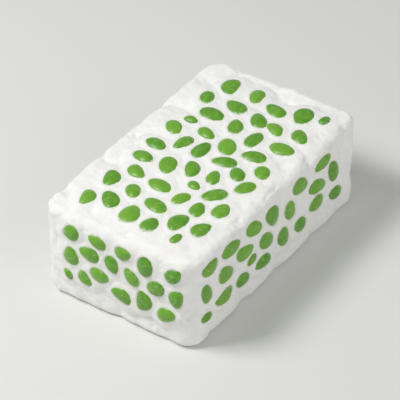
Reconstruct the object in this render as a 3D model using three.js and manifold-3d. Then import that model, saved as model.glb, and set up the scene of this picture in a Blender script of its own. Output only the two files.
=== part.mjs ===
// A cake of tempeh: green soybeans bound into one firm block by white mycelium.
//
// Millimetres, +Z up. The origin is the middle of the flat underside; X runs along the cake, Y across it.
// The cake is one solid. Its skin of mycelium is a rounded block that swells where beans lie close by and
// sinks where they don't. Its bare edges are gathered in lumps with a notch between each two, which gives
// the cake a scalloped outline. The beans stand out of the skin as low domes.
// The underside is pressed flat, so the beans there lie flush and leave no relief.

import * as THREE from 'three';
import { mergeVertices } from 'three/addons/utils/BufferGeometryUtils.js';
import Module from 'manifold-3d';

// ---- Driving dimensions ----

const CAKE = { length: 136.8, width: 82, height: 49 }; // the mycelium, without the domes
const EDGE_RADIUS = 4.5; // all round the top and the underside
const CORNER_RADIUS = 9; // of the four upright corners, seen from above
const SKIN_STEP = 5; // spacing of the skin's mesh

const BEAN = {
  halfLength: 7.2,
  halfWidth: 4.5,
  halfThickness: 2.7,
  sink: 1.1, // from the skin down to the bean's middle
  sizeSpread: 0.13, // share by which one bean is longer or shorter than the next
  slimSpread: 0.085, // share by which one bean is slimmer or stouter than the next
  smallEvery: 11, // one bean in so many is a small one
  smallSize: 0.62,
  taperMost: 0.26, // share by which one end is narrower than the other
  bendMost: 0.3, // how far the ends curl aside, as a share of the half length
  tiltMost: 7, // degrees that one end dips
  gap: 2.8, // mycelium left between neighbours
  touchEvery: 17, // one pair in so many lies nearly against each other
  touchGap: 0.4,
};
const BEAN_SIDES = 8;
const BEAN_BANDS = 4;
const FACET_GROWTH = 1.06; // a bean's flat facets stand this much wider, to hold as much as a round bean

const SWELL = { starts: 1.5, ends: 6, most: 2.6 }; // how the skin sinks with the distance from a bean
const LUMP = {
  spacing: 26, // from one lump's middle to the next
  stray: 6, // how far a middle may lie from its even place, along each axis
  rise: 2, // of a lump out of the notches round it
  flank: 18, // a lump is at its full height where the second nearest middle is this much further away
  seed: 83,
};
const PRESSED = { starts: 0.1, whole: 0.75 }; // how far down the skin faces where it begins to lie flat
const FLAT_BELOW = 0.2; // the skin lies on the ground where it would stand less than this above it

// ---- The faces that show beans ----

const { length: L, width: W, height: H } = CAKE;
const MIDDLE = new THREE.Vector3(0, 0, H / 2);
const axis = (x, y, z) => new THREE.Vector3(x, y, z);

// stretch and girth are how long and how wide the beans of a face are, as shares of a full bean. A bean
// that is cut short lies partly end on. lean is their usual direction from u in degrees, and wander is how
// far from it they lie. border is the bare mycelium along the face's edges, at the low and the high end
// of u and of v.
const TOP = {
  count: 47, stretch: 0.92, girth: 0.97, lean: 41, wander: 100, border: { u: [8.5, 12], v: [8, 12.5] },
};
const SIDE = {
  count: 22, stretch: 1, girth: 0.97, lean: -28, wander: 55, border: { u: [6, 14], v: [12.5, 4] },
};
const END = {
  count: 17, stretch: 0.74, girth: 0.88, lean: 54, wander: 140, border: { u: [13, 5], v: [12.5, 4.5] },
};

// u and v span a face, and u x v points out of it.
const FACES = [
  { ...TOP, seed: 11, u: axis(1, 0, 0), v: axis(0, 1, 0), halfU: L / 2, halfV: W / 2 },
  { ...SIDE, seed: 23, u: axis(1, 0, 0), v: axis(0, 0, 1), halfU: L / 2, halfV: H / 2 },
  { ...SIDE, seed: 37, u: axis(-1, 0, 0), v: axis(0, 0, 1), halfU: L / 2, halfV: H / 2 },
  { ...END, seed: 41, u: axis(0, -1, 0), v: axis(0, 0, 1), halfU: W / 2, halfV: H / 2 },
  { ...END, seed: 67, u: axis(0, 1, 0), v: axis(0, 0, 1), halfU: W / 2, halfV: H / 2 },
];

// ---- Laying out the beans ----

const GENERATOR = { factor: 16807, modulus: 2147483647, seedStep: 7919 }; // Park and Miller's numbers
const EVEN_STEPS = { u: 0.7548776662, v: 0.569840291 }; // their multiples fill a rectangle evenly
const SPREAD_PASSES = 90;
const SPREAD_SHARE = 0.25; // of a missing gap that each neighbour gives way in one pass

// The same seed always lays the same cake.
function makeRandom(seed) {
  let state = seed * GENERATOR.seedStep;
  return () => {
    state = (state * GENERATOR.factor) % GENERATOR.modulus;
    return state / GENERATOR.modulus;
  };
}

// From a bean's middle to its rim, in the direction given by an angle on the face.
function reach(bean, angle) {
  const along = bean.halfWidth * Math.cos(angle - bean.angle);
  const across = bean.halfLength * Math.sin(angle - bean.angle);
  return (bean.halfLength * bean.halfWidth) / Math.hypot(along, across);
}

// Keeps a bean's rim inside its face's borders.
function keepInside(bean, face) {
  const { halfU, halfV, border } = face;
  const spanU = Math.hypot(bean.halfLength * Math.cos(bean.angle), bean.halfWidth * Math.sin(bean.angle));
  const spanV = Math.hypot(bean.halfLength * Math.sin(bean.angle), bean.halfWidth * Math.cos(bean.angle));
  bean.u = THREE.MathUtils.clamp(bean.u, border.u[0] + spanU - halfU, halfU - border.u[1] - spanU);
  bean.v = THREE.MathUtils.clamp(bean.v, border.v[0] + spanV - halfV, halfV - border.v[1] - spanV);
}

// The beans of a face before they are spread, at the points of an even sequence between its borders.
function drawBeans(face) {
  const { halfU, halfV, border } = face;
  const random = makeRandom(face.seed);
  const signed = () => 2 * random() - 1;
  const beans = [];
  for (let i = 0; i < face.count; i++) {
    const small = i % BEAN.smallEvery === BEAN.smallEvery - 1;
    const size = small ? BEAN.smallSize : 1 + BEAN.sizeSpread * signed();
    const slim = 1 + BEAN.slimSpread * signed();
    beans.push({
      u: THREE.MathUtils.lerp(border.u[0] - halfU, halfU - border.u[1], (0.5 + i * EVEN_STEPS.u) % 1),
      v: THREE.MathUtils.lerp(border.v[0] - halfV, halfV - border.v[1], (0.5 + i * EVEN_STEPS.v) % 1),
      angle: THREE.MathUtils.degToRad(face.lean + (face.wander * (signed() + signed())) / 2),
      halfLength: BEAN.halfLength * size * face.stretch,
      halfWidth: BEAN.halfWidth * size * slim * face.girth,
      taper: BEAN.taperMost * signed(),
      bend: BEAN.bendMost * signed() ** 3,
      tilt: THREE.MathUtils.degToRad(BEAN.tiltMost * signed()),
    });
  }
  return beans;
}

// Moves two beans apart by a share of what their gap lacks.
function pushApart(a, b, gap) {
  const angle = Math.atan2(b.v - a.v, b.u - a.u);
  const lacks = reach(a, angle) + reach(b, angle) + gap - Math.hypot(b.u - a.u, b.v - a.v);
  const push = SPREAD_SHARE * Math.max(0, lacks);
  a.u -= push * Math.cos(angle);
  a.v -= push * Math.sin(angle);
  b.u += push * Math.cos(angle);
  b.v += push * Math.sin(angle);
}

function layOut(face) {
  const beans = drawBeans(face);
  for (let pass = 0; pass < SPREAD_PASSES; pass++) {
    for (let i = 0; i < beans.length; i++) {
      for (let j = i + 1; j < beans.length; j++) {
        const touching = (i + 2 * j) % BEAN.touchEvery === 0;
        pushApart(beans[i], beans[j], touching ? BEAN.touchGap : BEAN.gap);
      }
    }
    beans.forEach((bean) => keepInside(bean, face));
  }
  return beans;
}

// ---- The skin ----

// The place on the rounded block that belongs to a point on or near the plain block, and its normal.
// The block is a slab with upright corners of one radius, rounded over by the edge radius.
function roundOff(point) {
  const core = axis(
    THREE.MathUtils.clamp(point.x, CORNER_RADIUS - L / 2, L / 2 - CORNER_RADIUS),
    THREE.MathUtils.clamp(point.y, CORNER_RADIUS - W / 2, W / 2 - CORNER_RADIUS),
    THREE.MathUtils.clamp(point.z, EDGE_RADIUS, H - EDGE_RADIUS),
  );
  const out = axis(point.x - core.x, point.y - core.y, 0);
  core.add(out.clampLength(0, CORNER_RADIUS - EDGE_RADIUS));
  const normal = point.clone().sub(core).normalize();
  return { place: core.addScaledVector(normal, EDGE_RADIUS), normal };
}

// The place on the rounded block, and its normal, for a point (u, v) of a face.
function onFace(face, u, v) {
  const outward = face.u.clone().cross(face.v);
  const depth = Math.abs(outward.dot(axis(L / 2, W / 2, H / 2)));
  return roundOff(
    MIDDLE.clone().addScaledVector(outward, depth).addScaledVector(face.u, u).addScaledVector(face.v, v),
  );
}

// A bean's own axes where it lies on the skin: x along it, y across it and z out of the cake.
function seat(bean, face) {
  const { place, normal } = onFace(face, bean.u, bean.v);
  const direction = face.u.clone().multiplyScalar(Math.cos(bean.angle));
  direction.addScaledVector(face.v, Math.sin(bean.angle));
  direction.addScaledVector(normal, -direction.dot(normal)).normalize();
  const frame = new THREE.Matrix4().makeBasis(direction, normal.clone().cross(direction), normal);
  return { ...bean, face, intoBean: frame.setPosition(place).invert() };
}

// How far a point is from the rim of the nearest bean.
function fromBeans(point, beans) {
  let nearest = Infinity;
  for (const bean of beans) {
    const local = point.clone().applyMatrix4(bean.intoBean);
    const flat = Math.hypot(local.x, local.y);
    const rim = flat * (1 - 1 / Math.max(1, Math.hypot(local.x / bean.halfLength, local.y / bean.halfWidth)));
    nearest = Math.min(nearest, Math.hypot(rim, local.z));
  }
  return nearest;
}

// The middles of the lumps, on an even grid that fills the block and from which each strays a little.
function lumpMiddles() {
  const random = makeRandom(LUMP.seed);
  const [countX, countY, countZ] = [L, W, H].map((side) => Math.round(side / LUMP.spacing));
  const stray = () => LUMP.stray * (2 * random() - 1);
  const middles = [];
  for (let i = 0; i <= countX; i++) {
    for (let j = 0; j <= countY; j++) {
      for (let k = 0; k <= countZ; k++) {
        const even = axis((i / countX - 0.5) * L, (j / countY - 0.5) * W, (k / countZ) * H);
        middles.push(even.add(axis(stray(), stray(), stray())));
      }
    }
  }
  return middles;
}

// How high the lumps stand at a point: 0 in a notch and 1 on a lump.
function lumpHeight(point, middles) {
  const [nearest, second] = middles.map((middle) => middle.distanceTo(point)).sort((a, b) => a - b);
  return 1 - (1 - Math.min(1, (second - nearest) / LUMP.flank)) ** 2;
}

function skinPoint(point, beans, middles) {
  const { place, normal } = roundOff(point);
  const bare = THREE.MathUtils.smoothstep(fromBeans(place, beans), SWELL.starts, SWELL.ends);
  const sunk = bare * (SWELL.most - LUMP.rise * lumpHeight(place, middles));
  const pressed = THREE.MathUtils.smoothstep(-normal.z, PRESSED.starts, PRESSED.whole);
  const inward = axis(normal.x, normal.y, (1 - pressed) * normal.z).multiplyScalar(-sunk);
  const moved = place.add(inward);
  return moved.z < FLAT_BELOW ? moved.setZ(0) : moved;
}

function skinGeometry(beans) {
  const steps = [L, W, H].map((side) => Math.round(side / SKIN_STEP));
  const block = new THREE.BoxGeometry(L, W, H, ...steps).translate(0, 0, H / 2);
  block.deleteAttribute('normal');
  block.deleteAttribute('uv');
  const skin = mergeVertices(block);
  const places = skin.getAttribute('position');
  const middles = lumpMiddles();
  const point = new THREE.Vector3();
  for (let i = 0; i < places.count; i++) {
    const moved = skinPoint(point.fromBufferAttribute(places, i), beans, middles);
    places.setXYZ(i, moved.x, moved.y, moved.z);
  }
  return skin;
}

// ---- The beans ----

// A plump oval with a narrower end, curled a little to one side, half sunk in the skin. It is carried over
// from the flat face point by point, so near a corner it bends round the block.
function beanGeometry(bean) {
  const oval = new THREE.SphereGeometry(1, BEAN_SIDES, BEAN_BANDS).rotateX(Math.PI / 2);
  oval.deleteAttribute('normal');
  oval.deleteAttribute('uv');
  const shape = mergeVertices(oval);
  const places = shape.getAttribute('position');
  const halfLength = FACET_GROWTH * bean.halfLength;
  const halfWidth = FACET_GROWTH * bean.halfWidth;
  for (let i = 0; i < places.count; i++) {
    const x = places.getX(i);
    const across = places.getY(i) * (1 - bean.taper * x) * halfWidth + bean.bend * x * x * halfLength;
    places.setXYZ(i, x * halfLength, across, places.getZ(i) * BEAN.halfThickness);
  }
  shape.rotateY(bean.tilt).rotateZ(bean.angle).translate(bean.u, bean.v, -BEAN.sink);
  for (let i = 0; i < places.count; i++) {
    const { place, normal } = onFace(bean.face, places.getX(i), places.getY(i));
    place.addScaledVector(normal, places.getZ(i));
    places.setXYZ(i, place.x, place.y, place.z);
  }
  return shape;
}

// ---- Joining them into one solid ----

const manifold = await Module();
manifold.setup();

function toSolid(geometry) {
  return new manifold.Manifold(
    new manifold.Mesh({
      numProp: 3,
      vertProperties: new Float32Array(geometry.getAttribute('position').array),
      triVerts: new Uint32Array(geometry.index.array),
    }),
  );
}

function toGeometry(solid) {
  const mesh = solid.getMesh();
  const geometry = new THREE.BufferGeometry();
  geometry.setAttribute('position', new THREE.BufferAttribute(mesh.vertProperties, 3));
  geometry.setIndex(new THREE.BufferAttribute(mesh.triVerts, 1));
  geometry.computeVertexNormals();
  return geometry;
}

function tempehCake() {
  const beans = FACES.flatMap((face) => layOut(face).map((bean) => seat(bean, face)));
  const domes = beans.map((bean) => toSolid(beanGeometry(bean)));
  const cake = domes.reduce((joined, dome) => joined.add(dome), toSolid(skinGeometry(beans)));
  const material = new THREE.MeshStandardMaterial({ color: 0xf3f1e6, roughness: 0.9, metalness: 0 });
  const mesh = new THREE.Mesh(toGeometry(cake), material);
  mesh.name = 'tempeh_cake';
  return mesh;
}

const part = new THREE.Group();
part.add(tempehCake());

export default part;
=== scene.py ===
# %% [markdown]
# # A cake of tempeh
#
# Tempeh is made of cooked soybeans. A mould grows through them for a day or two, and its white threads, the
# mycelium, bind them into one firm cake. Two things are seen: a soft white skin, and the beans that stand
# out of it. They have grown together, but they look so different that each is a piece with a finish of its
# own. A third piece holds the single threads that creep out over the beans.
#
# The CAD part is one faceted solid of the same cake. It gives the size, and these pieces stand for it.

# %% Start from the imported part
import itertools
import math
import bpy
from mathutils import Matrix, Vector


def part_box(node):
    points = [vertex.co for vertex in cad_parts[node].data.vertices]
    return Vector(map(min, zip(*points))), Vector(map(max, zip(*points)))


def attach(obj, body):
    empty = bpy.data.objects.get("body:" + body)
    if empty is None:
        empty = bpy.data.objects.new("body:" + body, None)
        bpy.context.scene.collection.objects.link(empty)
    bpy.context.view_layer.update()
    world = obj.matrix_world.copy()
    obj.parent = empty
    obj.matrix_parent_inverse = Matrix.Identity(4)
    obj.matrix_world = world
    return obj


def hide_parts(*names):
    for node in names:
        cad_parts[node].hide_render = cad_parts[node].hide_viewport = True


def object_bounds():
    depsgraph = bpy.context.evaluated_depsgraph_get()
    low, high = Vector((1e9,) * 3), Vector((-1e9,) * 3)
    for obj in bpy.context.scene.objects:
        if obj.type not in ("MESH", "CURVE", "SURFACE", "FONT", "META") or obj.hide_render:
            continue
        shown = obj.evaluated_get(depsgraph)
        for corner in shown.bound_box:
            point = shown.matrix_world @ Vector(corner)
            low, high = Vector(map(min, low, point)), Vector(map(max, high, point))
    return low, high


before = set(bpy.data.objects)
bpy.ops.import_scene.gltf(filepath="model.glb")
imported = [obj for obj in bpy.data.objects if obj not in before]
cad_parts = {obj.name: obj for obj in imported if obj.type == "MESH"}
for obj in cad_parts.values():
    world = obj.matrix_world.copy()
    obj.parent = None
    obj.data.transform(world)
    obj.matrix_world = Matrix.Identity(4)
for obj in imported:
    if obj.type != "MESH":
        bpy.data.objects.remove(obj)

from types import SimpleNamespace

import bmesh
import bpy
import numpy as np
from mathutils import Vector, noise

MM = 0.001
CAKE_NODE = "tempeh_cake"
cad_low, cad_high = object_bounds()
print("the packed cake in mm:", [round(side / MM, 1) for side in cad_high - cad_low])

# %% [markdown]
# ## The measures of a bean and of the block
#
# A large cooked soybean is a plump oval about 14 mm long. About a third of its thickness stands out of the
# skin, so what shows of it is an oval about 12 mm long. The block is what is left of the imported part's box
# once the height of a bean's dome is taken off the top and the four sides. Everything else is worked out from
# these few values, so that the cake can be made larger or its beans smaller in one place.

# %% Name the measures
BEAN_HALF_LENGTH = 7.2 * MM
BEAN_HALF_WIDTH = 4.5 * MM
BEAN_HALF_THICKNESS = 2.7 * MM
BEAN_SINK = 1.1 * MM  # from the skin down to the bean's middle
EDGE_RADIUS = 4.5 * MM  # of the edges round the top and the bottom
CORNER_RADIUS = 9 * MM  # of the upright edges between the sides

PROUD = BEAN_HALF_THICKNESS - BEAN_SINK  # the height of a dome
box_low, box_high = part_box(CAKE_NODE)
LENGTH = round(box_high.x - box_low.x - 2 * PROUD, 4)
WIDTH = round(box_high.y - box_low.y - 2 * PROUD, 4)
HEIGHT = round(box_high.z - box_low.z - PROUD, 4)
HALF = np.array([LENGTH, WIDTH, HEIGHT]) / 2
MIDDLE = np.array([0, 0, HEIGHT / 2])
print("the block without its domes in mm:", [round(side / MM, 1) for side in (LENGTH, WIDTH, HEIGHT)])

# %% [markdown]
# ## Strewing the beans
#
# In a real cake the beans lie as they fell, but pressed close, so no two overlap and no large gap is left.
# Purely random places would give both. Here each face starts from a sequence of points that fills a
# rectangle evenly, and then every pair of beans that lies too close pushes itself apart, again and again.
# The same small random generator as in the CAD source draws the sizes and turns, so both models have the
# same beans in the same places.

# %% Name the six faces
GAP = 2.8 * MM  # the room that two neighbours should have between them
TOUCH_GAP = 0.4 * MM  # and the room of two that lie close
TOUCH_EVERY = 17  # one pair in so many may lie close
SMALL_EVERY = 11  # one bean in so many is a small one


def face(u, v, half_u, half_v, seed, kind):
    """A face of the block. u and v span it, and u x v points out of it."""
    out = np.cross(u, v)
    return SimpleNamespace(
        u=np.array(u), v=np.array(v), out=out, middle=MIDDLE + out * abs(out @ HALF),
        half_u=half_u, half_v=half_v, under=out[2] < 0, seed=seed, **kind,
    )


# stretch and girth are shares of a full bean, lean and wander are degrees. The borders are the bare
# mycelium in mm at the low and the high end of u and of v.
TOP = dict(count=47, stretch=0.92, girth=0.97, lean=41, wander=100, border_u=(8.5, 12), border_v=(8, 12.5))
SIDE = dict(count=22, stretch=1, girth=0.97, lean=-28, wander=55, border_u=(6, 14), border_v=(12.5, 4))
END = dict(count=17, stretch=0.74, girth=0.88, lean=54, wander=140, border_u=(13, 5), border_v=(12.5, 4.5))

half_length, half_width, half_height = HALF
FACES = [
    face((1, 0, 0), (0, 1, 0), half_length, half_width, seed=11, kind=TOP),
    face((1, 0, 0), (0, 0, 1), half_length, half_height, seed=23, kind=SIDE),
    face((-1, 0, 0), (0, 0, 1), half_length, half_height, seed=37, kind=SIDE),
    face((0, -1, 0), (0, 0, 1), half_width, half_height, seed=41, kind=END),
    face((0, 1, 0), (0, 0, 1), half_width, half_height, seed=67, kind=END),
    face((1, 0, 0), (0, -1, 0), half_length, half_width, seed=73, kind=TOP),
]

# %% Draw the beans of a face
GENERATOR_FACTOR = 16807  # Park and Miller's numbers
GENERATOR_MODULUS = 2147483647
SEED_STEP = 7919
SIZE_SPREAD = 0.13  # share by which one bean is longer or shorter than the next
SLIM_SPREAD = 0.085  # share by which one bean is slimmer or stouter than the next
SMALL_SIZE = 0.62
TAPER_MOST = 0.26  # share by which one end is narrower than the other
BEND_MOST = 0.3  # how far the ends curl aside, as a share of the half length
TILT_MOST = 7  # degrees that one end dips
EVEN_STEP_U = 0.7548776662  # multiples of these two fill a rectangle evenly
EVEN_STEP_V = 0.569840291


def make_random(seed):
    """A function that gives the same row of numbers from 0 to 1 for the same seed."""
    state = seed * SEED_STEP

    def draw():
        nonlocal state
        state = state * GENERATOR_FACTOR % GENERATOR_MODULUS
        return state / GENERATOR_MODULUS

    return draw


def draw_beans(side):
    """The beans of a face before they are spread."""
    random = make_random(side.seed)

    def signed():
        return 2 * random() - 1

    low_u, high_u = side.border_u[0] * MM - side.half_u, side.half_u - side.border_u[1] * MM
    low_v, high_v = side.border_v[0] * MM - side.half_v, side.half_v - side.border_v[1] * MM
    beans = []
    for i in range(side.count):
        small = i % SMALL_EVERY == SMALL_EVERY - 1
        size = SMALL_SIZE if small else 1 + SIZE_SPREAD * signed()
        slim = 1 + SLIM_SPREAD * signed()
        turn = (signed() + signed()) / 2
        beans.append(SimpleNamespace(
            u=low_u + (high_u - low_u) * ((0.5 + i * EVEN_STEP_U) % 1),
            v=low_v + (high_v - low_v) * ((0.5 + i * EVEN_STEP_V) % 1),
            angle=math.radians(side.lean + side.wander * turn),
            half_length=BEAN_HALF_LENGTH * size * side.stretch,
            half_width=BEAN_HALF_WIDTH * size * slim * side.girth,
            taper=TAPER_MOST * signed(),
            bend=BEND_MOST * signed() ** 3,  # so most of them curl only a little
            tilt=math.radians(TILT_MOST * signed()),
        ))
    return beans


# %% Push the beans apart
SPREAD_PASSES = 90
SPREAD_SHARE = 0.25  # of a missing gap that each neighbour gives way in one pass


def reach(bean, angle):
    """From a bean's middle to its rim, in the direction given by an angle on the face."""
    along = bean.half_width * math.cos(angle - bean.angle)
    across = bean.half_length * math.sin(angle - bean.angle)
    return bean.half_length * bean.half_width / math.hypot(along, across)


def push_apart(a, b, gap):
    """Moves two beans apart by a share of what their gap lacks."""
    angle = math.atan2(b.v - a.v, b.u - a.u)
    lacks = reach(a, angle) + reach(b, angle) + gap - math.hypot(b.u - a.u, b.v - a.v)
    push = SPREAD_SHARE * max(0, lacks)
    a.u -= push * math.cos(angle)
    a.v -= push * math.sin(angle)
    b.u += push * math.cos(angle)
    b.v += push * math.sin(angle)


def keep_inside(bean, side):
    """Keeps a bean's rim inside its face's borders."""
    cos, sin = math.cos(bean.angle), math.sin(bean.angle)
    room_u = side.half_u - math.hypot(bean.half_length * cos, bean.half_width * sin)
    room_v = side.half_v - math.hypot(bean.half_length * sin, bean.half_width * cos)
    bean.u = min(max(bean.u, side.border_u[0] * MM - room_u), room_u - side.border_u[1] * MM)
    bean.v = min(max(bean.v, side.border_v[0] * MM - room_v), room_v - side.border_v[1] * MM)


def lay_out(side):
    """The beans of a face, spread evenly inside its borders."""
    beans = draw_beans(side)
    pairs = [(i, j) for i in range(len(beans)) for j in range(i + 1, len(beans))]
    for _ in range(SPREAD_PASSES):
        for i, j in pairs:
            touching = (i + 2 * j) % TOUCH_EVERY == 0
            push_apart(beans[i], beans[j], TOUCH_GAP if touching else GAP)
        for bean in beans:
            keep_inside(bean, side)
    return beans


# %% [markdown]
# ## Seating the beans on the block
#
# The block isn't a box: its upright corners and its long edges are rounded. A point is rounded off by
# finding the nearest point of a smaller core and stepping out from it by the edge's radius. That step also
# gives the direction that points out of the cake. Beans are laid out on the flat face first and carried over
# by the same rule, so a bean near a corner bends round it as it does in a mould, and never stands off it.

# %% Round off the block and seat the beans
TINY = 1e-9
core_inset = np.array([CORNER_RADIUS, CORNER_RADIUS, EDGE_RADIUS])


def round_off(points):
    """The places on the rounded block for points of the plain block, and the ways out of it."""
    core = np.clip(points, MIDDLE - HALF + core_inset, MIDDLE + HALF - core_inset)
    out = (points - core) * [1, 1, 0]
    length = np.linalg.norm(out, axis=1, keepdims=True)
    core += out * np.minimum(1, (CORNER_RADIUS - EDGE_RADIUS) / np.maximum(length, TINY))
    outward = points - core
    outward /= np.linalg.norm(outward, axis=1, keepdims=True)
    return core + EDGE_RADIUS * outward, outward


def seat(bean, side):
    """Gives a bean its face, its place and its own axes: along it, across it and out of the cake."""
    on_face = side.middle + side.u * bean.u + side.v * bean.v
    places, outwards = round_off(on_face[None])
    outward = outwards[0]
    along = side.u * math.cos(bean.angle) + side.v * math.sin(bean.angle)
    along -= outward * (along @ outward)
    along /= np.linalg.norm(along)
    bean.side = side
    bean.place = places[0]
    bean.axes = np.array([along, np.cross(outward, along), outward])


beans = []
for side in FACES:
    laid = lay_out(side)
    for bean in laid:
        seat(bean, side)
    beans += laid
    print("face", side.seed, "has", len(laid), "beans")

# %% [markdown]
# ## The shape of a bean
#
# A soybean isn't an egg. One end is narrower, the ends curl a little to one side, and it lies askew, so one
# end dips. One function turns a round ball into that shape. A second one goes the other way: it says how
# high the bean stands above a point of the skin, so that the skin can be fitted to the beans. The beans
# underneath carry the cake's weight, so they are pressed flat.

# %% Shape a bean
PRESSED_IN = 0.05 * MM  # from the ground up to a bean underneath


def bean_points(bean, ball):
    """The places on a bean that belong to the points of a round ball with a radius of 1."""
    x, y, z = ball.T
    along = x * bean.half_length
    across = y * (1 - bean.taper * x) * bean.half_width + bean.bend * x * x * bean.half_length
    height = z * BEAN_HALF_THICKNESS
    tilted = along * math.cos(bean.tilt) + height * math.sin(bean.tilt)
    height = height * math.cos(bean.tilt) - along * math.sin(bean.tilt) - BEAN_SINK
    if bean.side.under:
        height = np.minimum(height, -PRESSED_IN)
    cos, sin = math.cos(bean.angle), math.sin(bean.angle)
    u = bean.u + tilted * cos - across * sin
    v = bean.v + tilted * sin + across * cos
    places, outwards = round_off(bean.side.middle + np.outer(u, bean.side.u) + np.outer(v, bean.side.v))
    return places + outwards * height[:, None]


def bean_ring(bean, x, y):
    """How far out a point lies on a bean seen from above: 0 in the middle and 1 on the rim. Also the
    distance to the rim, which is below 0 inside it."""
    share = x / bean.half_length
    ends = np.clip(share, -1, 1)
    across = y - bean.bend * ends**2 * bean.half_length
    ring = np.hypot(share, across / (bean.half_width * (1 - bean.taper * ends)))
    away = np.hypot(x, across) * (1 - 1 / np.maximum(ring, TINY))
    return ring, away


def bean_height(bean, x, ring):
    """How high a bean stands above the face that it is seated on."""
    height = BEAN_HALF_THICKNESS * np.sqrt(np.maximum(0, 1 - ring**2)) - BEAN_SINK - x * math.sin(bean.tilt)
    return np.minimum(height, -PRESSED_IN) if bean.side.under else height


# %% [markdown]
# ## The skin of mycelium
#
# The mould spreads a felt of threads over the beans. It swells over each bean, sinks into the gaps between
# them, and stops short of the bean's crown, round which it leaves a soft lip. Along the edges, where no beans
# show, it is gathered in large lumps with notches between them.
#
# This could be sculpted by hand, but rules do it more evenly. The first rule sinks the skin with the
# distance to the nearest bean. The second lets the lumps rise again: their middles stray from an even grid,
# and a notch runs wherever a point is as far from one middle as from the next. The third adds what makes the
# felt look grown: bumps over hidden beans, waves, the puckers of a skin that grows in cushions, and a nap.

# %% How the skin sinks away from the beans
VALLEY, VALLEY_STARTS, VALLEY_WIDTH = 0.45 * MM, 0.4 * MM, 1.5 * MM  # the first dip round a bean
SHORE, SHORE_STARTS, SHORE_ENDS = 2.15 * MM, 2 * MM, 6 * MM  # the fall to the notches in the bare edges


def smooth_step(low, high, value):
    """0 below low, 1 above high, and a soft ramp between."""
    share = np.clip((value - low) / (high - low), 0, 1)
    return share * share * (3 - 2 * share)


def sunk(away):
    """How far the skin sinks at a distance from the beans."""
    valley = VALLEY * (1 - np.exp(-np.maximum(0, away - VALLEY_STARTS) / VALLEY_WIDTH))
    return valley + SHORE * smooth_step(SHORE_STARTS, SHORE_ENDS, away)


# %% The lumps along the bare edges
LUMP_SPACING = 26 * MM
LUMP_STRAY = 6 * MM  # the most that a lump's middle strays each way from its place on the grid
LUMP_RISE = 2 * MM  # from the bottom of a notch to the top of a lump
LUMP_FLANK = 18 * MM  # a lump is full where the second nearest middle is this much further away
LUMP_SEED = 83
CORNER_FULL, CORNER_ENDS = 7 * MM, 22 * MM  # the notches run out this near to the block's corners


def lump_middles():
    """The middles of the lumps, on an even grid that fills the block and from which each strays a little."""
    random = make_random(LUMP_SEED)
    counts = [round(2 * half / LUMP_SPACING) for half in HALF]
    middles = []
    for cell in itertools.product(*(range(count + 1) for count in counts)):
        stray = [LUMP_STRAY * (2 * random() - 1) for _ in cell]
        middles.append(MIDDLE + (2 * np.array(cell) / counts - 1) * HALF + stray)
    return middles


def lump_height(points):
    """How high the lumps stand at each point: 0 in a notch and 1 on a lump and on the block's corners."""
    distances = np.array([np.linalg.norm(points - middle, axis=1) for middle in lump_middles()])
    nearest, second = np.partition(distances, 1, axis=0)[:2]
    notched = (1 - np.minimum(1, (second - nearest) / LUMP_FLANK)) ** 2
    from_corner = np.linalg.norm(HALF - np.abs(points - MIDDLE), axis=1)
    return 1 - notched * smooth_step(CORNER_FULL, CORNER_ENDS, from_corner)


print("lumps:", len(lump_middles()))

# %% The smaller unevenness of the felt
HIDDEN, HIDDEN_SIZE = 0.55 * MM, 8 * MM  # the bumps over beans that lie just under the bare edges
HIDDEN_FLANK = 0.75  # how far such a bump takes to rise from the dip round it, as a share of its size
WAVE, WAVE_SIZE = 0.42 * MM, 8 * MM
PUCKER, PUCKER_SIZE = 0.65 * MM, 4.6 * MM
PUCKER_WIDTH, PUCKER_FLOOR = 0.25, -0.1  # where the noise passes 0 there is a pucker this wide
NAP, NAP_SIZE = 0.16 * MM, 1.6 * MM


def ruffle(points, size):
    """Smooth noise between about -1 and 1 with bumps of a size."""
    return np.array([noise.noise(Vector(point) / size) for point in points])


def uneven(points):
    """Waves, puckered cushions and a nap."""
    puckers = np.maximum(PUCKER_WIDTH - np.abs(ruffle(points, PUCKER_SIZE)), PUCKER_FLOOR)
    return WAVE * ruffle(points, WAVE_SIZE) - PUCKER * puckers + NAP * ruffle(points, NAP_SIZE)


def hidden_bumps(points):
    """The bumps over beans that don't show, from 0 between them to 1 on them."""
    cells = [noise.voronoi(Vector(point) / HIDDEN_SIZE)[0] for point in points]
    return smooth_step(0, HIDDEN_FLANK, np.array([cell[1] - cell[0] for cell in cells]))


# %% [markdown]
# ## Fitting the skin to the beans
#
# Two things must be known at every point: how far it is from the beans, and how high the bean stands if there
# is one. The distances to several beans are blended, so the skin has no crease where two swellings meet.

# %% Measure where the beans are
BLEND = 0.8 * MM  # how softly the swellings of neighbouring beans run together
NEARBY = 16 * MM  # beans further away than this don't count
SLAB = 2 * MM  # a bean counts as this thick each way when its distance is taken
NO_BEAN = 2.0  # a ring beyond every rim


def distance_to(bean, points):
    """How far each point is from a bean, below 0 inside it."""
    x, y, z = ((points - bean.place) @ bean.axes.T).T
    away, deep = bean_ring(bean, x, y)[1], np.abs(z) - SLAB
    outside = np.hypot(np.maximum(away, 0), np.maximum(deep, 0))
    return outside + np.minimum(np.maximum(away, deep), 0)


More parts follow.
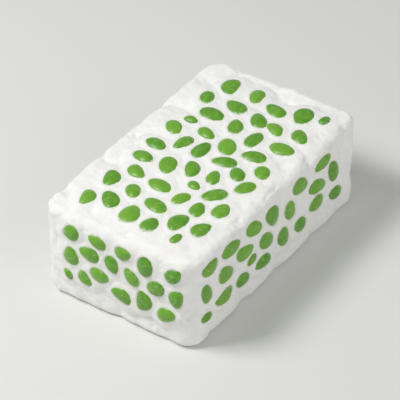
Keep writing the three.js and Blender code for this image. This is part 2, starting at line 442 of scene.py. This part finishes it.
def measure_beans(plain, places):
    """For each point how far it is from the nearest bean, how far out it lies on one, and how high that one
    is. plain has the points on the plain block, which tell the face, and places on the rounded one."""
    closeness = np.full(len(places), math.exp(-NEARBY / BLEND))
    ring_here = np.full(len(places), NO_BEAN)
    crown = np.zeros(len(places))
    for bean in beans:
        near = np.linalg.norm(places - bean.place, axis=1) < NEARBY
        closeness[near] += np.exp(-distance_to(bean, places[near]) / BLEND)

        same_face = near & ((plain - bean.side.middle) @ bean.side.out > -TINY)
        flat = plain[same_face] - bean.side.middle
        du, dv = flat @ bean.side.u - bean.u, flat @ bean.side.v - bean.v
        x = du * math.cos(bean.angle) + dv * math.sin(bean.angle)
        y = dv * math.cos(bean.angle) - du * math.sin(bean.angle)
        ring = bean_ring(bean, x, y)[0]
        where = np.flatnonzero(same_face)[ring < 1]
        ring_here[where] = ring[ring < 1]
        crown[where] = bean_height(bean, x, ring)[ring < 1]
    return -BLEND * np.log(closeness), ring_here, crown


# %% [markdown]
# Over a bean the skin climbs to the bean's own height and thins to a film. Then it dives under the crown,
# which leaves a window with a ragged edge. A hole cut in the mesh would do the same, but its edge would be as
# coarse as the cells. The same function places the single threads later, so they lie on the felt.

# %% Fit the skin
WINDOW = 0.93  # how far out the bare crown of a bean goes, where 1 is its rim
WINDOW_RAGGED, RAGGED_SIZE = 0.035, 2.2 * MM  # how far the window's edge strays, and the size of its teeth
WINDOW_EDGE = (-0.07, 0.02)  # from inside to outside the window's edge, the skin closes over the bean
WELL = 0.9 * MM  # how far the skin lies under a bean's bare crown
FILM = 0.15 * MM  # the skin's thickness where it lies on a bean
FILM_SLOPE = 6 * MM  # how fast it climbs from the well to the film, for each whole ring
LIP, LIP_WIDTH = 0.22 * MM, 1.1 * MM  # the soft swelling round each rim
PRESSED = (0.1, 0.75)  # how far down the skin faces where it begins to lie flat, and where it does


def fit_skin(plain, places, outwards):
    """How each point of the skin moves, how far it is from the nearest rim, and how much higher a bean is."""
    away, ring_here, crown = measure_beans(plain, places)
    bare = smooth_step(SHORE_STARTS, SHORE_ENDS, away)
    aside = LIP * np.exp(-((away / LIP_WIDTH) ** 2)) - sunk(away) + uneven(places)
    aside += bare * (LUMP_RISE * lump_height(places) + HIDDEN * (hidden_bumps(places) - 0.5))
    rise = aside * (1 - smooth_step(*PRESSED, -outwards[:, 2]))

    window = WINDOW + WINDOW_RAGGED * ruffle(places, RAGGED_SIZE)
    climb = crown + np.clip((ring_here - window) * FILM_SLOPE, -WELL, FILM)
    covered = smooth_step(*WINDOW_EDGE, ring_here - window)
    on_bean = ring_here < 1
    rise[on_bean] = (climb + covered * (np.maximum(rise, climb) - climb))[on_bean]
    aside[on_bean] = rise[on_bean]
    return SimpleNamespace(
        move=outwards * np.column_stack((aside, aside, rise)),
        away=away,
        bean_rise=np.where(on_bean, np.maximum(crown - rise, 0), 0),
    )


# %% [markdown]
# ## Making the skin's mesh
#
# The skin starts as a cube, scaled to the block and cut into cells of 0.7 mm, which is fine enough for the
# lips round the beans. A cube keeps its cells even on all six faces, where a ball would crowd them at its
# poles. Each point is then rounded off and moved outwards as the rule says. The distance from the beans is
# kept on the mesh as an attribute, because the finish needs it too.

# %% Make the skin
SKIN_CELL = 0.7 * MM
EDGE_LENGTH_SLACK = 1e-7


def cut_along(mesh, axis, side_length):
    """Cuts every edge that runs along an axis, so that the cells get their size in that direction."""
    def runs_along(edge):
        run = edge.verts[1].co - edge.verts[0].co
        return abs(abs(run[axis]) - side_length) < EDGE_LENGTH_SLACK

    edges = [edge for edge in mesh.edges if runs_along(edge)]
    cuts = round(side_length / SKIN_CELL) - 1
    bmesh.ops.subdivide_edges(mesh, edges=edges, cuts=cuts, use_grid_fill=True)


def make_object(name, mesh_data):
    """A smooth object at the origin, in the scene."""
    mesh = bpy.data.meshes.new(name)
    mesh_data.to_mesh(mesh)
    mesh_data.free()
    mesh.shade_smooth()
    piece = bpy.data.objects.new(name, mesh)
    bpy.context.scene.collection.objects.link(piece)
    return piece


def add_attribute(piece, name, values):
    """Keeps one number for each point of a mesh, for its material to read."""
    attribute = piece.data.attributes.new(name, "FLOAT", "POINT")
    attribute.data.foreach_set("value", np.asarray(values, dtype=np.float32))


block = bmesh.new()
bmesh.ops.create_cube(block, size=1)
bmesh.ops.scale(block, verts=block.verts, vec=(LENGTH, WIDTH, HEIGHT))
bmesh.ops.translate(block, verts=block.verts, vec=MIDDLE)
for axis, side_length in enumerate((LENGTH, WIDTH, HEIGHT)):
    cut_along(block, axis, side_length)

plain = np.array([vert.co for vert in block.verts])
places, outwards = round_off(plain)
fitted = fit_skin(plain, places, outwards)
places += fitted.move
places[:, 2] = np.maximum(places[:, 2], 0)
for vert, place in zip(block.verts, places):
    vert.co = place
skin = make_object("mycelium_skin", block)
add_attribute(skin, "away", fitted.away / MM)
furthest = np.abs(fitted.move).max()
print("skin:", len(skin.data.polygons), "faces, moved", round(furthest / MM, 2), "mm at most")

# %% [markdown]
# ## The beans
#
# Every bean is the upper part of a ball, shaped by the function above. What lies deeper in the cake can't be
# seen, so it is cut off and the cut is closed. That leaves fewer than a hundred faces a bean, and all of them
# where they make the rim and the dome smooth. The beans are made in one mesh, because a maker treats them as
# one heap. Each bean keeps a shade of its own and its height above the skin as attributes.

# %% Make the beans
BEAN_SEGMENTS = 18
BEAN_RINGS = 9
BURIED = -0.15  # where the ball is cut, in radii from its middle
ORDER = Vector((1, 3, 20))  # a direction in which no two faces of the ball lie equally far

ball = bmesh.new()
bmesh.ops.create_uvsphere(ball, u_segments=BEAN_SEGMENTS, v_segments=BEAN_RINGS, radius=1)
cut = bmesh.ops.bisect_plane(
    ball, geom=ball.verts[:] + ball.edges[:] + ball.faces[:],
    plane_co=(0, 0, BURIED), plane_no=(0, 0, -1), clear_outer=True,
)
cut_edges = [part for part in cut["geom_cut"] if isinstance(part, bmesh.types.BMEdge)]
bmesh.ops.contextual_create(ball, geom=cut_edges)
bmesh.ops.recalc_face_normals(ball, faces=ball.faces)
# The ball's operator stores its faces in a new order on each run. Sorted, they are the same in every run.
ball.faces.sort(key=lambda facet: facet.calc_center_median().dot(ORDER))
print("one bean:", len(ball.faces), "faces, closed:", all(edge.is_manifold for edge in ball.edges))
ball_points = np.array([vert.co for vert in ball.verts])
ball_mesh = bpy.data.meshes.new("ball")
ball.to_mesh(ball_mesh)
ball.free()

heap = bmesh.new()
for bean in beans:
    heap.from_mesh(ball_mesh)
places = np.vstack([bean_points(bean, ball_points) for bean in beans])
for vert, place in zip(heap.verts, places):
    vert.co = place
soybeans = make_object("soybeans", heap)

SHADE_SEED = 97

shade_random = make_random(SHADE_SEED)
shades = [shade_random() for bean in beans]
add_attribute(soybeans, "shade", np.repeat(shades, len(ball_points)))
add_attribute(soybeans, "crown", np.tile(ball_points[:, 2], len(beans)))
print("beans:", len(beans), "with", len(soybeans.data.polygons), "faces")

# %% [markdown]
# ## The single threads
#
# Where the felt of mycelium ends, single threads creep on over the beans, and a few stand off the skin as a
# nap. Hair particles could make them, but they don't stay with a mesh that is handed on, so each thread is a
# thin tube with three sides, made like the beans: one tube is copied many times into one mesh, and its
# points are then laid along a curved path. The path is drawn on the flat face, and the rule for the skin
# drapes it over skin and beans alike.

# %% Draw the threads' paths
THREAD_STEPS = 4
THREADS_ON_BEAN = 26
NAP_THREADS = 2400
CREEP = (0.7 * MM, 2 * MM)  # shortest and longest thread over a bean's rim
STAND = (1 * MM, 2.6 * MM)  # shortest and longest thread of the nap
STAND_HEIGHT = 0.35 * MM  # a thread of the nap is an arch of this height
CURL = 0.45  # how far a thread bends aside, as a share of its length
ROOT_SPREAD = 0.12  # threads on a bean start up to this share outside its rim
HEADING_SPREAD = 1.9  # radians between the most different headings over a rim
THREAD_SEED = 131

thread_random = make_random(THREAD_SEED)


def draw_path(side, u, v, heading, length, height):
    """One thread: the points of its path on the plain block, and how far each stands off the surface."""
    share = np.linspace(0, 1, THREAD_STEPS + 1)
    aside = CURL * (2 * thread_random() - 1) * length * share**2
    along = length * share
    cos, sin = math.cos(heading), math.sin(heading)
    path_u = np.clip(u + along * cos - aside * sin, -side.half_u, side.half_u)
    path_v = np.clip(v + along * sin + aside * cos, -side.half_v, side.half_v)
    plain = side.middle + np.outer(path_u, side.u) + np.outer(path_v, side.v)
    return plain, height * np.sin(math.pi * share)


paths = []
for bean in beans:
    if bean.side.under:
        continue
    for _ in range(THREADS_ON_BEAN):
        turn = 2 * math.pi * thread_random()
        rim = (1 + ROOT_SPREAD * thread_random()) * reach(bean, turn)
        heading = turn + math.pi + HEADING_SPREAD * (thread_random() - 0.5)
        length = CREEP[0] + (CREEP[1] - CREEP[0]) * thread_random() ** 2
        u, v = bean.u + rim * math.cos(turn), bean.v + rim * math.sin(turn)
        paths.append(draw_path(bean.side, u, v, heading, length, 0))
open_faces = [side for side in FACES if not side.under]
for i in range(NAP_THREADS):
    side = open_faces[i % len(open_faces)]
    u = side.half_u * (2 * thread_random() - 1)
    v = side.half_v * (2 * thread_random() - 1)
    length = STAND[0] + (STAND[1] - STAND[0]) * thread_random()
    paths.append(draw_path(side, u, v, 2 * math.pi * thread_random(), length, STAND_HEIGHT))
print("threads:", len(paths))

# %% Lay the tubes along the paths
THREAD_SIDES = 3
THREAD_RADIUS = (0.045 * MM, 0.02 * MM)  # at its root and at its tip

tube = bmesh.new()
bmesh.ops.create_cone(tube, cap_ends=True, segments=THREAD_SIDES, radius1=1, radius2=1, depth=1)
bmesh.ops.translate(tube, verts=tube.verts, vec=(0, 0, 0.5))
lengthwise = [edge for edge in tube.edges if edge.verts[0].co.z != edge.verts[1].co.z]
bmesh.ops.subdivide_edges(tube, edges=lengthwise, cuts=THREAD_STEPS - 1, use_grid_fill=True)
tube_points = np.array([vert.co for vert in tube.verts])
tube_mesh = bpy.data.meshes.new("tube")
tube.to_mesh(tube_mesh)
tube.free()

plain = np.vstack([path for path, height in paths])
places, outwards = round_off(plain)
fitted = fit_skin(plain, places, outwards)
heights = fitted.bean_rise + np.concatenate([height for path, height in paths]) + THREAD_RADIUS[1]
places += fitted.move + outwards * heights[:, None]
places[:, 2] = np.maximum(places[:, 2], THREAD_RADIUS[0])
lines = places.reshape(len(paths), THREAD_STEPS + 1, 3)
outwards = outwards.reshape(lines.shape)
ahead = np.gradient(lines, axis=1)
ahead /= np.maximum(np.linalg.norm(ahead, axis=2, keepdims=True), TINY)
aside = np.cross(outwards, ahead)
aside /= np.maximum(np.linalg.norm(aside, axis=2, keepdims=True), TINY)
upward = np.cross(ahead, aside)  # aside x upward = ahead, so the tubes aren't turned inside out

step = np.rint(tube_points[:, 2] * THREAD_STEPS).astype(int)
radius = np.interp(tube_points[:, 2], (0, 1), THREAD_RADIUS)[:, None]
around = tube_points[:, :1] * radius * aside[:, step] + tube_points[:, 1:2] * radius * upward[:, step]
tangle = bmesh.new()
for _ in paths:
    tangle.from_mesh(tube_mesh)
for vert, place in zip(tangle.verts, (lines[:, step] + around).reshape(-1, 3)):
    vert.co = place
threads = make_object("threads", tangle)
print("threads:", len(threads.data.polygons), "faces")

# %% [markdown]
# ## Finishes
#
# Fresh mycelium is bright white and has no gloss, but a soft nap like felt. Light goes a little way into it,
# so its shadows are soft. The beans are smooth and slightly moist under it, and their green varies from one
# to the next. The finishes are built from noise that reads the object's own coordinates, in metres, so a bump
# has a real size and the pattern stays put in every view.

# %% Helpers for the finishes
def shade_of(red, green, blue):
    """A colour as the shader wants it, from the usual 0 to 255."""
    def linear(value):  # the standard curve of sRGB
        share = value / 255
        return share / 12.92 if share <= 0.04045 else ((share + 0.055) / 1.055) ** 2.4

    return (linear(red), linear(green), linear(blue), 1)


class Finish:
    """A material, with short names for the nodes that the finishes here are made of."""

    def __init__(self, name):
        self.material = bpy.data.materials.new(name)
        self.material.use_nodes = True
        self.nodes = self.material.node_tree.nodes
        self.place = self.add("ShaderNodeTexCoord", {}).outputs["Object"]

    def fill_in(self, node, inputs):
        """Sets inputs of a node: another node's output is linked, and a plain value is written in."""
        for key, value in inputs.items():
            if isinstance(value, bpy.types.NodeSocket):
                self.material.node_tree.links.new(value, node.inputs[key])
            else:
                node.inputs[key].default_value = value

    def add(self, kind, inputs, **settings):
        """A new node."""
        node = self.nodes.new(kind)
        for key, value in settings.items():
            setattr(node, key, value)
        self.fill_in(node, inputs)
        return node

    def attribute(self, name):
        """The number that a mesh keeps for each of its points."""
        return self.add("ShaderNodeAttribute", {}, attribute_name=name).outputs["Fac"]

    def clouds(self, per_metre, detail, roughness=0.5):
        """Soft noise between 0 and 1, mostly near 0.5."""
        inputs = {"Vector": self.place, "Scale": per_metre, "Detail": detail, "Roughness": roughness}
        return self.add("ShaderNodeTexNoise", inputs).outputs["Fac"]

    def calculate(self, operation, *values):
        """One step of arithmetic."""
        return self.add("ShaderNodeMath", dict(enumerate(values)), operation=operation).outputs["Value"]

    def ramp(self, value, start, end, most=1):
        """0 as far as start, most from end on, and a straight ramp between."""
        inputs = {"Value": value, "From Min": start, "From Max": end, "To Max": most}
        return self.add("ShaderNodeMapRange", inputs).outputs["Result"]

    def mix(self, under, over, share):
        """A colour with a share of another laid over it."""
        inputs = {"A": under, "B": over, "Factor": share}
        return self.add("ShaderNodeMix", inputs, data_type="RGBA").outputs["Result"]

    def bump(self, height, strength, depth, **under):
        """Shading for relief that is too fine for the mesh. under is a coarser bump that it lies on."""
        inputs = {"Height": height, "Strength": strength, "Distance": depth, **under}
        return self.add("ShaderNodeBump", inputs).outputs["Normal"]

    def put_on(self, piece, shader_inputs):
        """Gives the finish to a piece."""
        self.fill_in(self.nodes["Principled BSDF"], shader_inputs)
        piece.data.materials.append(self.material)
        print(piece.name, "has the finish", self.material.name, "made of", len(self.nodes), "nodes")


# %% The colour of the mycelium
CREAM_PATCHES = 260  # noise cells in a metre
THIN_SKIN = -0.7  # in mm, how far inside a rim the skin is at its thinnest
FRESH_WHITE = shade_of(253, 252, 248)
AGED_CREAM = shade_of(236, 232, 218)
SHOWING_THROUGH = shade_of(205, 218, 170)  # where the skin is so thin that a bean's green comes through

felt = Finish("white mycelium")
cream = felt.ramp(felt.clouds(CREAM_PATCHES, detail=4, roughness=0.6), start=0.45, end=0.75, most=0.55)
thin = felt.ramp(felt.attribute("away"), start=0, end=THIN_SKIN, most=0.6)
white = felt.mix(felt.mix(FRESH_WHITE, AGED_CREAM, cream), SHOWING_THROUGH, thin)

# %% The web of threads in the felt
SWAY = 1.6 * MM  # how far the strands of the web wander from straight lines
BENDS = 700  # how often they bend in a metre
STRAND_WHITE = shade_of(255, 255, 252)
COARSE_WEB, FINE_WEB = 900, 1700  # cells in a metre
FUZZ = 1900  # noise cells in a metre
FUZZ_SHARE, WEB_SHARE = 0.9, 0.45  # what each adds to the nap's height

bent = felt.add("ShaderNodeTexNoise", {"Vector": felt.place, "Scale": BENDS, "Detail": 3, "Roughness": 0.6})
sway = felt.add("ShaderNodeVectorMath", {0: bent.outputs["Color"], 1: (0.5, 0.5, 0.5)}, operation="SUBTRACT")
sway_inputs = {0: sway.outputs["Vector"], 1: (SWAY, SWAY, SWAY), 2: felt.place}
swayed = felt.add("ShaderNodeVectorMath", sway_inputs, operation="MULTIPLY_ADD").outputs["Vector"]


def web(cells_per_metre, strand):
    """A net of fine strands: the edges between cells, as far as a share of a cell from each edge."""
    inputs = {"Vector": swayed, "Scale": cells_per_metre}
    cells = felt.add("ShaderNodeTexVoronoi", inputs, feature="DISTANCE_TO_EDGE")
    return felt.ramp(cells.outputs["Distance"], start=strand, end=0)


webs = felt.calculate("MAXIMUM", web(COARSE_WEB, strand=0.16), web(FINE_WEB, strand=0.2))
fuzz = felt.clouds(FUZZ, detail=4, roughness=0.7)
felted = felt.calculate("MULTIPLY_ADD", fuzz, FUZZ_SHARE, felt.calculate("MULTIPLY", webs, WEB_SHARE))
felt.put_on(skin, {
    "Base Color": felt.mix(white, STRAND_WHITE, felt.ramp(felted, start=0.35, end=0.9, most=0.7)),
    "Normal": felt.bump(felted, strength=0.6, depth=0.2 * MM),
    "Roughness": 0.92,
    "Specular IOR Level": 0.2,
    "Sheen Weight": 0.3,
    "Sheen Roughness": 0.5,
    "Subsurface Weight": 0.25,
    "Subsurface Radius": (1, 0.95, 0.8),
    "Subsurface Scale": 0.9 * MM,
})

# %% The finish of the threads
THREAD_PATCHES = 300  # noise cells in a metre
THREAD_WHITE = shade_of(254, 254, 250)
THREAD_CREAM = shade_of(238, 238, 222)

thread_coat = Finish("mycelium thread")
thread_coat.put_on(threads, {
    "Base Color": thread_coat.mix(THREAD_WHITE, THREAD_CREAM, thread_coat.clouds(THREAD_PATCHES, detail=2)),
    "Roughness": 0.8,
    "Specular IOR Level": 0.25,
    "Sheen Weight": 0.3,
})

# %% The green of the beans
PORES, BLOTCHES, DENTS = 1500, 360, 330  # noise cells in a metre
DEEP_GREEN = shade_of(86, 150, 32)
BRIGHT_GREEN = shade_of(113, 173, 46)
PALE_GREEN = shade_of(134, 184, 68)
FILM_WHITE = shade_of(236, 240, 222)

bean_coat = Finish("green soybean")
pores = bean_coat.clouds(PORES, detail=3, roughness=0.6)
green = bean_coat.mix(DEEP_GREEN, BRIGHT_GREEN, bean_coat.attribute("shade"))
blotches = bean_coat.clouds(BLOTCHES, detail=3, roughness=0.6)
green = bean_coat.mix(green, PALE_GREEN, bean_coat.ramp(blotches, start=0.42, end=0.72, most=0.65))

# %% The film on their shoulders, and their dents
FILM_RAGGED = -0.5  # how far the pores pull the film's edge up the bean

ragged = bean_coat.calculate("MULTIPLY_ADD", pores, FILM_RAGGED, bean_coat.attribute("crown"))
filmed = bean_coat.mix(green, FILM_WHITE, bean_coat.ramp(ragged, start=0.24, end=0.05, most=0.85))
dented = bean_coat.bump(bean_coat.clouds(DENTS, detail=2), strength=0.5, depth=0.5 * MM)
bean_coat.put_on(soybeans, {
    "Base Color": filmed,
    "Normal": bean_coat.bump(pores, strength=0.3, depth=0.1 * MM, Normal=dented),
    "Roughness": 0.36,
    "Specular IOR Level": 0.5,
    "Subsurface Weight": 0.12,
    "Subsurface Radius": (0.5, 1, 0.3),
    "Subsurface Scale": 1 * MM,
})

# %% [markdown]
# ## Floor, light and camera
#
# The floor is a plain pale sheet, a shade darker than the cake so that the white edges stand out. A soft
# light from the left gives the three faces different tones. A larger and weaker one from the right and the
# pale surroundings fill the shadows. A sun lamp would be simpler, but its hard shadows would hide the low
# relief. The camera stands far off with a long lens, which keeps the cake's edges nearly parallel.

# %% Floor
FLOOR_RADIUS = 3  # metres
FLOOR_SEGMENTS = 64
PAPER = shade_of(230, 230, 227)

sheet = bmesh.new()
bmesh.ops.create_circle(sheet, cap_ends=True, segments=FLOOR_SEGMENTS, radius=FLOOR_RADIUS)
floor = make_object("floor", sheet)
Finish("pale paper").put_on(floor, {"Base Color": PAPER, "Roughness": 0.9})

# %% Light
def add_light(name, azimuth, elevation, distance, size, power):
    """A square soft light that shines on the cake, its size in metres and its power in watts. Azimuth 0 is
    in front of the cake, on the -Y side."""
    light = bpy.data.lights.new(name, "AREA")
    light.size = size
    light.energy = power
    lamp = bpy.data.objects.new(name, light)
    turn, climb = math.radians(azimuth), math.radians(elevation)
    back = Vector((math.sin(turn) * math.cos(climb), -math.cos(turn) * math.cos(climb), math.sin(climb)))
    lamp.location = Vector(MIDDLE) + distance * back
    lamp.rotation_euler = back.to_track_quat("Z", "Y").to_euler()
    bpy.context.scene.collection.objects.link(lamp)


add_light("key", azimuth=-135, elevation=54, distance=0.9, size=0.3, power=5.1)
add_light("fill", azimuth=0, elevation=24, distance=1.1, size=0.9, power=2.6)

ROOM_LIGHT = 0.36
world = bpy.data.worlds.new("pale room")
world.use_nodes = True
background = world.node_tree.nodes["Background"]
background.inputs["Color"].default_value = (1, 1, 1, 1)
background.inputs["Strength"].default_value = ROOM_LIGHT
bpy.context.scene.world = world
bpy.context.scene.view_settings.view_transform = "Standard"

# %% Camera
CAMERA_AZIMUTH = math.radians(-55.49)
CAMERA_ELEVATION = math.radians(37.92)
CAMERA_DISTANCE = 7.96  # in lengths of the cake, as are the next two
CAMERA_RIGHT = -0.0139
CAMERA_UP = -0.0083
LENS = 222.1  # in mm, for Blender's usual sensor of 36 mm
FAR_ENOUGH = 10  # metres, well beyond the floor that shows

length = cad_high.x - cad_low.x
back = Vector((
    math.sin(CAMERA_AZIMUTH) * math.cos(CAMERA_ELEVATION),
    -math.cos(CAMERA_AZIMUTH) * math.cos(CAMERA_ELEVATION),
    math.sin(CAMERA_ELEVATION),
))
right = Vector((0, 0, 1)).cross(back).normalized()
up = back.cross(right)
camera = bpy.data.objects.new("camera", bpy.data.cameras.new("camera"))
camera.data.lens = LENS
camera.data.clip_end = FAR_ENOUGH
camera.location = Vector((0, 0, (cad_high.z - cad_low.z) / 2))
camera.location += length * (CAMERA_DISTANCE * back + CAMERA_RIGHT * right + CAMERA_UP * up)
camera.rotation_euler = back.to_track_quat("Z", "Y").to_euler()
bpy.context.scene.collection.objects.link(camera)
bpy.context.scene.camera = camera

# %% [markdown]
# ## Hand the pieces over
#
# The three pieces ride on the cake's one body and stand for its solid. The looks may not make the cake
# larger.

# %% Tie the pieces to the part
for piece, slot in ((skin, "mycelium"), (threads, "mycelium"), (soybeans, "soybean")):
    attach(piece, "root")
    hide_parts(CAKE_NODE)
